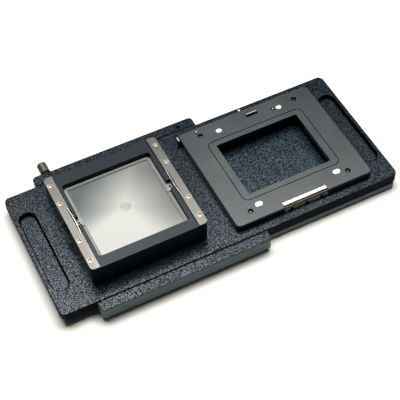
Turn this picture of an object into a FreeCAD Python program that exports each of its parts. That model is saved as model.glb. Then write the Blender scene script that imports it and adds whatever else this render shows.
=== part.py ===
import FreeCAD, Part
import os
import Sketcher

# Sliding camera back: a long slide with a focusing screen housing and a back plate runs
# between two rails on a fixed base. Millimetres, +Z away from the camera, +X along the travel,
# origin at the centre of the camera opening on the base's underside.

DOC = FreeCAD.newDocument("SlidingBack")
SHEET = DOC.addObject("Spreadsheet::Sheet", "Dims")

DIMENSIONS = (
    ("rail_half_len", 55.0), ("rail_outer", 55.0), ("rail_inner", 47.35), ("rail_bottom", 3.0),
    ("rail_corner", 2.6), ("rail_edge", 0.3),
    ("base_thick", 5.3), ("base_core", 47.25), ("base_end", 145.2), ("base_ext_half", 48.2),
    ("base_join", 55.1), ("base_edge", 0.5), ("base_corner", 2.0), ("foot_tall", 0.6), ("foot_inset", 1.5),
    ("flange_half", 52.5), ("flange_len", 54.0),
    ("gate_len", 88.0), ("gate_wide", 62.0), ("gate_corner", 4.0),
    ("cam_hole_x", 50.5), ("cam_hole_y", 38.0), ("cam_hole_rad", 1.25), ("cam_hole_deep", 4.0),
    ("rail_screw_x", 51.0), ("rail_screw_mid", 17.0), ("rail_screw_y", 50.2),
    ("rail_screw_rad", 1.0), ("rail_screw_head", 1.8), ("rail_head_low", 0.2), ("rail_head_top", 1.5),
    ("rail_screw_tip", 8.0),
    ("seal_x", 46.6), ("seal_y", 33.8), ("seal_wide", 2.1), ("seal_low", 4.3), ("seal_top", 5.38),
    ("seal_long", 90.4), ("seal_short", 69.6), ("seal_room", 0.05),
    ("stop_y", 42.0), ("stop_rad", 2.0), ("stop_shank", 1.5), ("stop_foot", 1.5), ("stop_top", 6.8),
    ("dot_step", 15.0), ("dot_y", 49.0), ("dot_rad", 0.8), ("dot_deep", 1.8), ("dot_proud", 0.06),
    ("slide_left", -76.8), ("slide_len", 224.5), ("slide_half", 47.25), ("slide_low", 5.4),
    ("slide_top", 11.0), ("slide_corner", 5.0), ("slide_edge_up", 0.25), ("slide_edge_low", 0.5),
    ("dovetail", 0.7),
    ("finger_wide", 10.4), ("finger_long", 61.6), ("finger_deep", 2.5), ("finger_inset", 7.95),
    ("travel_out", 100.0), ("travel_in", 30.0), ("stop_slot_rad", 2.1), ("stop_slot_top", 7.0),
    ("mark_x", 85.3), ("mark_y", 45.2),
    ("screen_x", -15.0), ("back_x", 85.5),
    ("house_half", 37.1), ("house_front", -36.3), ("house_rear", 38.0), ("house_top", 25.7),
    ("house_corner", 2.5), ("well_x", 57.6), ("well_y", 58.0), ("well_corner", 1.6), ("ledge_z", 20.0),
    ("light_x", 53.6), ("light_y", 54.0), ("slide_gate", 57.0),
    ("house_screw_x", 33.0), ("house_screw_front", -32.6), ("house_screw_rear", 33.5),
    ("house_screw_rad", 1.25), ("house_head_rad", 2.2), ("house_head_low", 5.5),
    ("house_head_top", 7.0), ("house_screw_tip", 16.0),
    ("strip_wide", 5.6), ("strip_thick", 0.8), ("strip_corner", 1.5), ("strip_screw_x", 35.05),
    ("strip_mid_y", 1.1), ("strip_near", 15.2), ("strip_far", 30.4), ("strip_screw_rad", 0.8),
    ("strip_head_rad", 1.5), ("strip_head_thick", 0.6), ("strip_head_sunk", 0.1),
    ("dish_wide", 1.3), ("dish_narrow", 0.45), ("dish_deep", 0.5), ("strip_screw_long", 4.5),
    ("notch_wide", 1.1), ("notch_long", 21.2), ("notch_mid", 1.3),
    ("under_wide", 1.2), ("under_shown", 0.4), ("under_deep", 1.2), ("under_front", -34.0),
    ("leaf_thick", 0.4), ("leaf_bow", 0.45), ("leaf_long", 21.1), ("leaf_gap", 0.3),
    ("glass_x", 57.2), ("glass_y", 57.6), ("glass_low", 20.02), ("glass_thick", 1.5), ("glass_corner", 2.2),
    ("prism_rad", 3.4), ("prism_thick", 0.3),
    ("bezel_low", 21.54), ("bezel_thick", 0.56), ("bezel_wide", 2.0),
    ("clip_low", 22.15), ("clip_thick", 0.8), ("clip_mid", 0.5), ("clip_wide", 6.0),
    ("clip_tip", 26.9), ("clip_end", 38.2), ("clip_tab", 8.0), ("clip_tab_long", 1.0),
    ("clip_hole_rad", 0.75), ("clip_hole_in", 29.6), ("clip_room", 0.1), ("clip_step", 0.35),
    ("plate_left", 38.8), ("plate_len", 93.7), ("plate_front", -41.3), ("plate_deep", 82.1),
    ("plate_thick", 4.5), ("plate_corner", 3.2), ("plate_edge", 0.6),
    ("ring_x", 67.2), ("ring_y", 51.8), ("ring_corner", 3.8), ("ring_low", 12.5), ("ring_room", 0.15),
    ("frame_x", 57.2), ("frame_y", 43.6), ("frame_corner", 0.8), ("under_gate_x", 59.0),
    ("under_gate_y", 45.0),
    ("pad_rear_x", 21.6), ("pad_rear_y", 32.0), ("pad_front_x", 27.0), ("pad_front_y", -31.2),
    ("pad_rear_len", 3.8), ("pad_front_len", 4.8), ("pad_wide", 3.1), ("pad_sunk", 1.5),
    ("pad_proud", 0.3),
    ("corner_x", 33.8), ("corner_rear", 33.9), ("corner_front", -33.5), ("cap_rad", 1.5),
    ("cap_bore", 1.8), ("cap_bore_deep", 1.4), ("cap_thick", 1.1), ("cap_shank", 1.0),
    ("cap_tip", 7.5), ("hex_rad", 0.8), ("hex_deep", 0.6),
    ("pin_x", 50.6), ("pin_y", 37.4), ("pin_rad", 0.65), ("pin_low", 13.7), ("pin_top", 16.5),
    ("sensor_x", 103.3), ("sensor_y", 32.7), ("sensor_rad", 1.45), ("sensor_low", 12.4),
    ("sensor_step", 14.3), ("sensor_stem", 1.15), ("sensor_top", 16.2), ("sensor_well", 11.4),
    ("slot_x", 89.2), ("slot_long", 8.0), ("slot_front", 33.9), ("slot_rear", 36.8),
    ("channel_front", 35.32), ("channel_rear", 36.4), ("channel_top", 13.5), ("channel_end", 91.4),
    ("latch_front", 35.4), ("latch_rear", 36.3), ("latch_low", 11.2), ("latch_top", 13.3),
    ("latch_end", 90.4), ("latch_travel", 1.5), ("latch_clear", 0.4), ("hook_long", 2.8),
    ("hook_top", 14.0),
    ("finger_tab_left", 37.8), ("finger_tab_right", 38.6), ("finger_tab_rear", 40.2),
    ("finger_tab_front", 36.8), ("finger_tab_top", 14.6), ("tab_block_left", 36.4),
    ("tab_block_front", 34.6),
    ("liner_front", 36.2), ("liner_low", 14.1), ("liner_top", 15.4), ("liner_long", 7.0),
    ("liner_shift", 0.4),
    ("bar_x", 86.0), ("bar_len", 30.0), ("bar_rear", -37.3), ("bar_top", 16.0),
    ("bar_face", -41.2), ("bar_low", 11.1), ("bar_step_y", -40.1), ("bar_step_z", 15.0),
    ("bar_screw_z", 12.7), ("bar_screw_pitch", 10.3), ("bar_screw_rad", 1.15), ("bar_shank", 0.8),
    ("lock_x", -45.0), ("lock_z", 7.0), ("shoe_half_x", 3.0), ("shoe_half_z", 1.9),
    ("shoe_face", 48.0), ("shoe_back", 49.9), ("shoe_room", 0.1), ("shoe_pocket", 50.9),
    ("bush_rad", 2.6), ("bush_flange", 3.6), ("bush_end", 57.0), ("bore_rad", 2.03),
    ("screw_rad", 1.98), ("screw_tip_rad", 1.45), ("screw_tip_y", 48.9), ("screw_start", 50.0),
    ("screw_end", 63.0), ("knob_start", 57.4), ("knob_end", 65.4), ("knob_rad", 3.1),
    ("knob_edge", 0.4),
    ("set_x", 43.9), ("set_y", 50.4), ("set_rad", 1.6), ("set_sunk", 0.45), ("set_tall", 2.2),
    ("knurl_count", 22.0), ("knurl_deep", 0.18), ("knurl_wide", 0.36),
    ("fit", 0.02), ("over", 1.0), ("tip_gap", 0.2), ("head_gap", 0.1), ("bar_room", 0.2),
    ("stop_lap", 0.3), ("leaf_lift", 0.05), ("split_wide", 0.1), ("split_deep", 0.06),
    ("tab_lip", 0.2), ("step_run", 0.8), ("dome_share", 0.8), ("tip_room", 0.05),
    ("bar_head_tall", 0.35), ("bar_shank_start", 0.1), ("bar_shank_long", 3.0),
    ("bar_drive_floor", 0.15), ("bar_hole_mid", 1.5), ("bar_hole_long", 3.4),
)

for row, (word, value) in enumerate(DIMENSIONS, start=1):
    SHEET.set("A%d" % row, word)
    SHEET.set("B%d" % row, str(value))
    SHEET.setAlias("B%d" % row, word)
DOC.recompute()

DIMS = dict(DIMENSIONS)
NODES = []


def link(text):
    """An expression over sheet aliases, written as plain words, turned into sheet references."""
    out = []
    word = ""
    for sign in text + " ":
        if sign.isalnum() or sign in "_.":
            word += sign
            continue
        out.append("Dims." + word if word in DIMS else word)
        word = ""
        out.append(sign)
    return "".join(out).strip()


def num(text):
    """The present value of an expression over the sheet's words."""
    return float(SHEET.evalExpression(text.strip()))


def bind(thing, path, text):
    thing.setExpression(path, link(text))


def keep(thing, label):
    """Names a finished sub-part; its label is also its file name."""
    thing.Label = label
    NODES.append(thing)
    return thing


# ---- part design helpers -------------------------------------------------------------------


def new_body(name):
    return DOC.addObject("PartDesign::Body", name)


def plane(body, role):
    for feature in body.Origin.OriginFeatures:
        if feature.Role == role:
            return feature
    raise ValueError(role)


def new_sketch(body, name, role, offset):
    """A sketch on one of the body's own planes, moved along its normal by an expression."""
    sketch = body.newObject("Sketcher::SketchObject", name)
    sketch.AttachmentSupport = [(plane(body, role), "")]
    sketch.MapMode = "FlatFace"
    sketch.AttachmentOffset = FreeCAD.Placement(
        FreeCAD.Vector(0, 0, num(offset)), FreeCAD.Rotation())
    bind(sketch, "AttachmentOffset.Base.z", offset)
    return sketch


def dimension(sketch, kind, args, text):
    """A dimensional constraint bound to an expression."""
    index = sketch.addConstraint(Sketcher.Constraint(kind, *args, num(text)))
    bind(sketch, "Constraints[%d]" % index, text)
    return index


def add_rect(sketch, left, right, low, high):
    """A sharp-cornered rectangle between four expressions."""
    x0, x1, y0, y1 = num(left), num(right), num(low), num(high)
    corners = [(x0, y0), (x1, y0), (x1, y1), (x0, y1)]
    first = sketch.GeometryCount
    for i in range(4):
        a = FreeCAD.Vector(*corners[i], 0)
        b = FreeCAD.Vector(*corners[(i + 1) % 4], 0)
        sketch.addGeometry(Part.LineSegment(a, b), False)
    for i in range(4):
        sketch.addConstraint(Sketcher.Constraint("Coincident", first + i, 2, first + (i + 1) % 4, 1))
    for i in (0, 2):
        sketch.addConstraint(Sketcher.Constraint("Horizontal", first + i))
    for i in (1, 3):
        sketch.addConstraint(Sketcher.Constraint("Vertical", first + i))
    dimension(sketch, "DistanceX", (-1, 1, first, 1), left)
    dimension(sketch, "DistanceX", (-1, 1, first + 1, 2), right)
    dimension(sketch, "DistanceY", (-1, 1, first, 1), low)
    dimension(sketch, "DistanceY", (-1, 1, first + 1, 2), high)


def add_circle(sketch, x, y, rad):
    index = sketch.addGeometry(
        Part.Circle(FreeCAD.Vector(num(x), num(y), 0), FreeCAD.Vector(0, 0, 1), num(rad)), False)
    dimension(sketch, "Radius", (index,), rad)
    dimension(sketch, "DistanceX", (-1, 1, index, 3), x)
    dimension(sketch, "DistanceY", (-1, 1, index, 3), y)


def pad(body, sketch, length, both=False):
    feature = body.newObject("PartDesign::Pad", "Pad")
    feature.Profile = sketch
    feature.Length = num(length)
    bind(feature, "Length", length)
    feature.Midplane = both
    DOC.recompute()
    return feature


def pocket(body, sketch, length, both=False):
    """Cuts below the sketch, or evenly to both sides of it, and checks that material went."""
    before = body.Shape.Volume
    feature = body.newObject("PartDesign::Pocket", "Pocket")
    feature.Profile = sketch
    feature.Length = num(length)
    bind(feature, "Length", length)
    feature.Midplane = both
    DOC.recompute()
    if body.Shape.Volume >= before:
        feature.Reversed = True
        DOC.recompute()
    if body.Shape.Volume >= before:
        raise ValueError("empty pocket in " + body.Name)
    return feature


def block(body, left, right, low, high, bottom, tall):
    sketch = new_sketch(body, "Outline", "XY_Plane", bottom)
    add_rect(sketch, left, right, low, high)
    return pad(body, sketch, tall)


def cut_rect(body, left, right, low, high, top, deep):
    sketch = new_sketch(body, "Opening", "XY_Plane", top)
    add_rect(sketch, left, right, low, high)
    return pocket(body, sketch, deep)


def cut_circles(body, places, rad, top, deep):
    sketch = new_sketch(body, "Holes", "XY_Plane", top)
    for x, y in places:
        add_circle(sketch, x, y, rad)
    return pocket(body, sketch, deep)


def same(a, b):
    return abs(a - b) < 1e-4


def upright_edges(shape, spots):
    """Names of the edges parallel to Z that stand on the given plan points."""
    names = []
    for i, edge in enumerate(shape.Edges, start=1):
        a, b = edge.Vertexes[0].Point, edge.Vertexes[-1].Point
        if not (same(a.x, b.x) and same(a.y, b.y)):
            continue
        for x, y in spots:
            if same(a.x, x) and same(a.y, y):
                names.append("Edge%d" % i)
    return names


def level_edges(shape, level):
    """Names of every edge that lies wholly at one height."""
    names = []
    for i, edge in enumerate(shape.Edges, start=1):
        box = edge.BoundBox
        if same(box.ZMin, level) and same(box.ZMax, level):
            names.append("Edge%d" % i)
    return names


def round_corners(body, spots, rad):
    tip = body.Tip
    feature = body.newObject("PartDesign::Fillet", "Fillet")
    feature.Base = (tip, upright_edges(tip.Shape, [(num(x), num(y)) for x, y in spots]))
    feature.Radius = num(rad)
    bind(feature, "Radius", rad)
    DOC.recompute()
    return feature


def bevel_level(body, level, size):
    tip = body.Tip
    feature = body.newObject("PartDesign::Chamfer", "Chamfer")
    feature.Base = (tip, level_edges(tip.Shape, num(level)))
    feature.Size = num(size)
    bind(feature, "Size", size)
    DOC.recompute()
    return feature


def four(left, right, low, high):
    return [(left, low), (right, low), (right, high), (left, high)]


# ---- part primitives -------------------------------------------------------------------------


def place(thing, x, y, z, turn=None):
    spin = turn if turn is not None else FreeCAD.Rotation()
    thing.Placement = FreeCAD.Placement(FreeCAD.Vector(num(x), num(y), num(z)), spin)
    for axis, text in (("x", x), ("y", y), ("z", z)):
        bind(thing, "Placement.Base." + axis, text)


ALONG_Y = FreeCAD.Rotation(FreeCAD.Vector(1, 0, 0), -90)


def rod(name, x, y, z, rad, tall, turn=None):
    thing = DOC.addObject("Part::Cylinder", name)
    bind(thing, "Radius", rad)
    bind(thing, "Height", tall)
    place(thing, x, y, z, turn)
    return thing


def brick(name, x, y, z, long, wide, tall):
    thing = DOC.addObject("Part::Box", name)
    bind(thing, "Length", long)
    bind(thing, "Width", wide)
    bind(thing, "Height", tall)
    place(thing, x, y, z)
    return thing


def joined(name, things):
    out = DOC.addObject("Part::MultiFuse", name)
    out.Shapes = things
    return out


def less(name, base, tool):
    out = DOC.addObject("Part::Cut", name)
    out.Base = base
    out.Tool = tool
    return out


def grouped(name, things):
    out = DOC.addObject("Part::Compound", name)
    out.Links = things
    return out


def domed(name, thing, size):
    """Rounds off the top rim of an upright pin."""
    DOC.recompute()
    rim = [i for i, e in enumerate(thing.Shape.Edges, start=1)
           if same(e.BoundBox.ZMin, thing.Shape.BoundBox.ZMax)]
    out = DOC.addObject("Part::Fillet", name)
    out.Base = thing
    out.Edges = [(i, num(size), num(size)) for i in rim]
    return out


def socket_screw(name, x, y, head_low, head_tall, head_rad, shank_low, shank_rad, facing_up=True):
    """An upright screw with a hexagonal socket in the outer end of its head."""
    head = rod(name + "Head", x, y, head_low, head_rad, head_tall)
    shank_tall = "%s - (%s)" % (head_low, shank_low) if facing_up else \
        "%s - (%s) - (%s)" % (shank_low, head_low, head_tall)
    shank_foot = shank_low if facing_up else "%s + %s" % (head_low, head_tall)
    shank = rod(name + "Shank", x, y, shank_foot, shank_rad, shank_tall)
    hexagon = DOC.addObject("Part::Prism", name + "Hex")
    hexagon.Polygon = 6
    bind(hexagon, "Circumradius", "hex_rad")
    bind(hexagon, "Height", "hex_deep")
    top = "%s + %s - hex_deep" % (head_low, head_tall) if facing_up else head_low
    place(hexagon, x, y, top)
    return less(name, joined(name + "Blank", [head, shank]), hexagon)


# ---- fixed base --------------------------------------------------------------------------------


def rail_screw_places(side):
    spots = []
    for x in ("-rail_screw_x", "-rail_screw_mid", "rail_screw_mid", "rail_screw_x"):
        spots.append((x, "%srail_screw_y" % side))
    return spots


def base_plate():
    body = new_body("BasePlate")
    block(body, "base_join", "base_end", "-base_ext_half", "base_ext_half", "foot_tall",
          "base_thick - foot_tall")
    round_corners(body, [("base_end", "-base_ext_half"), ("base_end", "base_ext_half")], "base_corner")
    bevel_level(body, "base_thick", "base_edge")
    block(body, "base_join", "base_end - foot_inset", "-base_ext_half + foot_inset",
          "base_ext_half - foot_inset", "0", "foot_tall")
    block(body, "-rail_half_len", "base_join + over * 2", "-base_core", "base_core", "0", "base_thick")
    block(body, "-flange_len", "flange_len", "-flange_half", "flange_half", "0", "rail_bottom")
    cut_rect(body, "-gate_len / 2", "gate_len / 2", "-gate_wide / 2", "gate_wide / 2",
             "base_thick", "base_thick")
    round_corners(body, four("-gate_len / 2", "gate_len / 2", "-gate_wide / 2", "gate_wide / 2"),
                  "gate_corner")
    cut_circles(body, four("-cam_hole_x", "cam_hole_x", "-cam_hole_y", "cam_hole_y"),
                "cam_hole_rad", "cam_hole_deep", "cam_hole_deep")
    spots = rail_screw_places("") + rail_screw_places("-")
    cut_circles(body, spots, "rail_screw_rad + fit", "rail_bottom", "rail_bottom")
    cut_circles(body, spots, "rail_screw_head + head_gap", "rail_head_top", "rail_head_top")
    cut_circles(body, [("0", "stop_y")], "stop_shank", "base_thick", "base_thick - stop_foot")
    room = "seal_wide / 2 + seal_room"
    for side in ("-", ""):
        cut_rect(body, "%sseal_x - (%s)" % (side, room), "%sseal_x + %s" % (side, room),
                 "-seal_short / 2 - seal_room", "seal_short / 2 + seal_room",
                 "base_thick", "base_thick - seal_low")
        cut_rect(body, "-seal_long / 2 - seal_room", "seal_long / 2 + seal_room",
                 "%sseal_y - (%s)" % (side, room), "%sseal_y + %s" % (side, room),
                 "base_thick", "base_thick - seal_low")
    return keep(body, "base_plate")


def dovetail_cut(body, side, *corners):
    """Cuts a four-sided channel of one section along the whole travel, on one side of the slide."""
    sketch = new_sketch(body, "Slope", "YZ_Plane", "slide_left + slide_len / 2")
    points = [FreeCAD.Vector(side * num(y), num(z), 0) for y, z in corners]
    for i in range(len(points)):
        sketch.addGeometry(Part.LineSegment(points[i], points[(i + 1) % len(points)]), False)
    for i in range(len(points)):
        sketch.addConstraint(Sketcher.Constraint("Coincident", i, 2, (i + 1) % len(points), 1))
    return pocket(body, sketch, "slide_len * 2", both=True)


def rail(name, side):
    """One guide rail; side is -1 in front and 1 behind. Its inner face overhangs the slide's
    sloping edge, as a dovetail."""
    body = new_body(name)
    sign = "-" if side < 0 else ""
    ends = ["%srail_inner" % sign, "%srail_outer" % sign]
    low, high = (ends[1], ends[0]) if side < 0 else (ends[0], ends[1])
    block(body, "-rail_half_len", "rail_half_len", low, high, "rail_bottom", "slide_top - rail_bottom")
    outer = "%srail_outer" % sign
    round_corners(body, [("-rail_half_len", outer), ("rail_half_len", outer)], "rail_corner")
    bevel_level(body, "slide_top", "rail_edge")
    under = "rail_inner + dovetail * (slide_top - base_thick) / (slide_top - slide_low)"
    dovetail_cut(body, side, ("rail_inner", "slide_top"), (under, "base_thick"),
                 ("rail_inner - over", "base_thick"), ("rail_inner - over", "slide_top"))
    cut_circles(body, rail_screw_places(sign), "rail_screw_rad + fit", "rail_screw_tip + tip_gap",
                "rail_screw_tip + tip_gap - rail_bottom")
    return body


def front_rail():
    return keep(rail("FrontRail", -1), "front_rail")


def rear_rail():
    body = rail("RearRail", 1)
    shoe = new_sketch(body, "ShoePocket", "XZ_Plane", "-(rail_inner - 1 + shoe_pocket) / 2")
    add_rect(shoe, "lock_x - shoe_half_x - shoe_room", "lock_x + shoe_half_x + shoe_room",
             "lock_z - shoe_half_z - shoe_room", "lock_z + shoe_half_z + shoe_room")
    pocket(body, shoe, "shoe_pocket - rail_inner + over", both=True)
    hole = new_sketch(body, "BushingHole", "XZ_Plane", "-(rail_inner + rail_outer) / 2")
    add_circle(hole, "lock_x", "lock_z", "bush_rad")
    pocket(body, hole, "rail_outer - rail_inner + over * 2", both=True)
    cut_circles(body, [("-dot_step", "dot_y"), ("0", "dot_y"), ("dot_step", "dot_y")],
                "dot_rad", "slide_top", "dot_deep")
    cut_circles(body, [("set_x", "set_y")], "set_rad + fit", "slide_top", "set_sunk + set_tall")
    return keep(body, "rear_rail")


def rail_set_screw():
    """A sunk black screw that sets the rear rail's pressure on the slide."""
    low = "slide_top - set_sunk - set_tall"
    blank = rod("SetBlank", "set_x", "set_y", low, "set_rad", "set_tall")
    hexagon = DOC.addObject("Part::Prism", "SetHex")
    hexagon.Polygon = 6
    bind(hexagon, "Circumradius", "hex_rad")
    bind(hexagon, "Height", "hex_deep")
    place(hexagon, "set_x", "set_y", "slide_top - set_sunk - hex_deep")
    return keep(less("RailSetScrew", blank, hexagon), "rail_set_screw")


def rail_screws():
    screws = []
    for x, y in rail_screw_places("") + rail_screw_places("-"):
        screws.append(socket_screw("RailScrew", x, y, "rail_head_low", "rail_head_top - rail_head_low",
                                   "rail_screw_head", "rail_screw_tip", "rail_screw_rad", False))
    return keep(grouped("RailScrews", screws), "rail_screws")


def index_pin(name, x, y):
    pin = rod(name + "Rod", x, y, "slide_top - dot_deep", "dot_rad - fit / 2", "dot_deep + dot_proud")
    return domed(name, pin, "dot_proud / 2")


def rail_index_pins():
    pins = [index_pin("RailDot", x, "dot_y") for x in ("-dot_step", "0", "dot_step")]
    return keep(grouped("RailDots", pins), "rail_index_pins")


def seals():
    tall = "seal_top - seal_low"
    for label, side in (("seal_left", "-"), ("seal_right", "")):
        body = new_body("Seal")
        block(body, "%sseal_x - seal_wide / 2" % side, "%sseal_x + seal_wide / 2" % side,
              "-seal_short / 2", "seal_short / 2", "seal_low", tall)
        keep(body, label)
    for label, side in (("seal_front", "-"), ("seal_rear", "")):
        body = new_body("Seal")
        block(body, "-seal_long / 2", "seal_long / 2", "%sseal_y - seal_wide / 2" % side,
              "%sseal_y + seal_wide / 2" % side, "seal_low", tall)
        keep(body, label)


def stop_pin():
    shank = rod("StopShank", "0", "stop_y", "stop_foot", "stop_shank - fit / 2",
                "base_thick + stop_lap - stop_foot")
    head = rod("StopHead", "0", "stop_y", "base_thick", "stop_rad", "stop_top - base_thick")
    return keep(joined("StopPin", [shank, head]), "stop_pin")


# ---- slide -------------------------------------------------------------------------------------


def finger_pocket(body, x):
    """A long round-ended pocket: a rectangle with both end circles, cut one after the other."""
    run = "finger_long / 2 - finger_wide / 2"
    cut_rect(body, "%s - finger_wide / 2" % x, "%s + finger_wide / 2" % x,
             "-(%s)" % run, run, "slide_top", "finger_deep")
    for sign in ("-", ""):
        cut_circles(body, [(x, "%s(%s)" % (sign, run))], "finger_wide / 2", "slide_top", "finger_deep")


def house_screw_places():
    return four("screen_x - house_screw_x", "screen_x + house_screw_x", "house_screw_front",
                "house_screw_rear")


def corner_places():
    return four("back_x - corner_x", "back_x + corner_x", "corner_front", "corner_rear")


def slide_plate():
    body = new_body("SlidePlate")
    right = "slide_left + slide_len"
    foot = "slide_half + dovetail"
    block(body, "slide_left", right, "-(%s)" % foot, foot, "slide_low", "slide_top - slide_low")
    round_corners(body, four("slide_left", right, "-(%s)" % foot, foot), "slide_corner")
    for side in (-1, 1):
        dovetail_cut(body, side, (foot, "slide_low"), ("slide_half", "slide_top"),
                     (foot + " + over", "slide_top"), (foot + " + over", "slide_low"))
    bevel_level(body, "slide_top", "slide_edge_up")
    bevel_level(body, "slide_low", "slide_edge_low")
    cut_rect(body, "screen_x - slide_gate / 2", "screen_x + slide_gate / 2", "-slide_gate / 2",
             "slide_gate / 2", "slide_top", "slide_top - slide_low")
    cut_rect(body, "back_x - under_gate_x / 2", "back_x + under_gate_x / 2", "-under_gate_y / 2",
             "under_gate_y / 2", "slide_top", "slide_top - slide_low")
    finger_pocket(body, "slide_left + finger_inset")
    finger_pocket(body, right + " - finger_inset")
    deep = "stop_slot_top - slide_low"
    cut_rect(body, "-travel_in", "travel_out", "stop_y - stop_slot_rad", "stop_y + stop_slot_rad",
             "stop_slot_top", deep)
    cut_circles(body, [("-travel_in", "stop_y")], "stop_slot_rad", "stop_slot_top", deep)
    cut_circles(body, [("travel_out", "stop_y")], "stop_slot_rad", "stop_slot_top", deep)
    cut_circles(body, house_screw_places(), "house_screw_rad + fit", "slide_top",
                "slide_top - slide_low")
    cut_circles(body, house_screw_places(), "house_head_rad + head_gap", "house_head_top",
                "house_head_top - slide_low")
    cut_circles(body, corner_places(), "cap_shank + fit", "slide_top", "slide_top - cap_tip + tip_gap")
    cut_circles(body, [("mark_x", "mark_y")], "dot_rad", "slide_top", "dot_deep")
    return keep(body, "slide_plate")


def slide_index_pin():
    return keep(index_pin("SlideDot", "mark_x", "mark_y"), "slide_index_pin")


# ---- focusing screen housing ---------------------------------------------------------------------


def strip_screw_places(side):
    x = "screen_x %s strip_screw_x" % side
    spots = []
    for step in ("- strip_far", "- strip_near", "+ strip_near", "+ strip_far"):
        spots.append((x, "strip_mid_y " + step))
    return spots


def span(side, near, far):
    """Left and right ends of a zone on one side of the screen's centre."""
    if side == "-":
        return "screen_x - (%s)" % far, "screen_x - (%s)" % near
    return "screen_x + %s" % near, "screen_x + %s" % far


def screen_housing():
    body = new_body("ScreenHousing")
    left, right = "screen_x - house_half", "screen_x + house_half"
    block(body, left, right, "house_front", "house_rear", "slide_top", "house_top - slide_top")
    round_corners(body, four(left, right, "house_front", "house_rear"), "house_corner")
    cut_rect(body, "screen_x - well_x / 2", "screen_x + well_x / 2", "-well_y / 2", "well_y / 2",
             "house_top", "house_top - ledge_z")
    round_corners(body, four("screen_x - well_x / 2", "screen_x + well_x / 2", "-well_y / 2",
                             "well_y / 2"), "well_corner")
    cut_rect(body, "screen_x - light_x / 2", "screen_x + light_x / 2", "-light_y / 2", "light_y / 2",
             "ledge_z", "ledge_z - slide_top")
    lip = "house_half - strip_wide"
    clip_low = "clip_mid - clip_wide / 2 - clip_room"
    clip_high = "clip_mid + clip_wide / 2 + clip_room"
    for side in ("-", "+"):
        a, b = span(side, lip + " - under_shown", lip + " - under_shown + under_wide")
        cut_rect(body, a, b, "under_front", "house_rear + over", "house_top", "under_deep")
        a, b = span(side, "well_x / 2 - over", lip + " - under_shown")
        cut_rect(body, a, b, clip_low, clip_high, "house_top", "house_top - clip_low + clip_room")
        a, b = span(side, "well_x / 2 - over", "house_half + over")
        cut_rect(body, a, b, clip_low, clip_high, "clip_low + clip_thick + clip_room",
                 "clip_thick + clip_room * 2")
        cut_circles(body, strip_screw_places(side), "strip_screw_rad + fit", "house_top",
                    "strip_screw_long")
    cut_circles(body, house_screw_places(), "house_screw_rad + fit", "house_screw_tip + tip_gap",
                "house_screw_tip + tip_gap - slide_top")
    return keep(body, "screen_housing")


def housing_screws():
    screws = []
    for x, y in house_screw_places():
        screws.append(socket_screw("HouseScrew", x, y, "house_head_low",
                                   "house_head_top - house_head_low", "house_head_rad",
                                   "house_screw_tip", "house_screw_rad", False))
    return keep(grouped("HouseScrews", screws), "housing_screws")


def finder_strip(label, side):
    """A steel strip whose inner edge overhangs a channel and is notched for a leaf spring."""
    body = new_body("FinderStrip")
    left, right = span(side, "house_half - strip_wide", "house_half")
    block(body, left, right, "house_front", "house_rear", "house_top", "strip_thick")
    outer = "screen_x %s house_half" % side
    round_corners(body, [(outer, "house_front"), (outer, "house_rear")], "house_corner")
    a, b = span(side, "house_half - strip_wide - over", "house_half - strip_wide + notch_wide")
    cut_rect(body, a, b, "notch_mid - notch_long / 2", "notch_mid + notch_long / 2",
             "house_top + strip_thick", "strip_thick")
    places = strip_screw_places(side)
    cut_circles(body, places, "strip_screw_rad + fit", "house_top + strip_thick", "strip_thick")
    cut_circles(body, places, "strip_head_rad + fit", "house_top + strip_thick",
                "strip_head_thick + strip_head_sunk")
    return keep(body, label)


def finder_strip_screws(label, side):
    """Low-headed screws with a dished top, slightly sunk in the strip."""
    screws = []
    head_low = "house_top + strip_thick - strip_head_sunk - strip_head_thick"
    for x, y in strip_screw_places(side):
        head = rod("StripHead", x, y, head_low, "strip_head_rad", "strip_head_thick")
        shank = rod("StripShank", x, y, "house_top - strip_screw_long + tip_gap", "strip_screw_rad",
                    "%s - house_top + strip_screw_long" % head_low)
        drive = DOC.addObject("Part::Cone", "StripDish")
        bind(drive, "Radius1", "dish_narrow")
        bind(drive, "Radius2", "dish_wide")
        bind(drive, "Height", "dish_deep")
        place(drive, x, y, head_low + " + strip_head_thick - dish_deep")
        screws.append(less("StripScrew", joined("StripBlank", [head, shank]), drive))
    return keep(grouped("StripScrews", screws), label)


def leaf_spring(label, side):
    """A shallow bow lying in the strip's notch, its middle swelling towards the screen."""
    body = new_body("LeafSpring")
    sketch = new_sketch(body, "Bow", "XY_Plane", "house_top + leaf_lift")
    way = 1.0 if side == "-" else -1.0
    edge = num("screen_x") - way * num("house_half - strip_wide + notch_wide")
    near = edge + way * num("leaf_gap")
    thick, bow, long, mid = (num(w) for w in ("leaf_thick", "leaf_bow", "leaf_long", "notch_mid"))
    low, high = mid - long / 2, mid + long / 2
    ends = [(near, low), (near, high), (near + way * thick, high), (near + way * thick, low)]
    back = Part.Arc(FreeCAD.Vector(near, low, 0), FreeCAD.Vector(near + way * bow, mid, 0),
                    FreeCAD.Vector(near, high, 0))
    front = Part.Arc(FreeCAD.Vector(near + way * thick, low, 0),
                     FreeCAD.Vector(near + way * (thick + bow), mid, 0),
                     FreeCAD.Vector(near + way * thick, high, 0))
    sketch.addGeometry(back, False)
    sketch.addGeometry(front, False)
    for a, b in ((1, 2), (3, 0)):
        sketch.addGeometry(Part.LineSegment(FreeCAD.Vector(*ends[a], 0),
                                            FreeCAD.Vector(*ends[b], 0)), False)
    pad(body, sketch, "strip_thick - leaf_lift * 2")
    return keep(body, label)


def glass_corners():
    return four("screen_x - glass_x / 2", "screen_x + glass_x / 2", "-glass_y / 2", "glass_y / 2")


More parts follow.
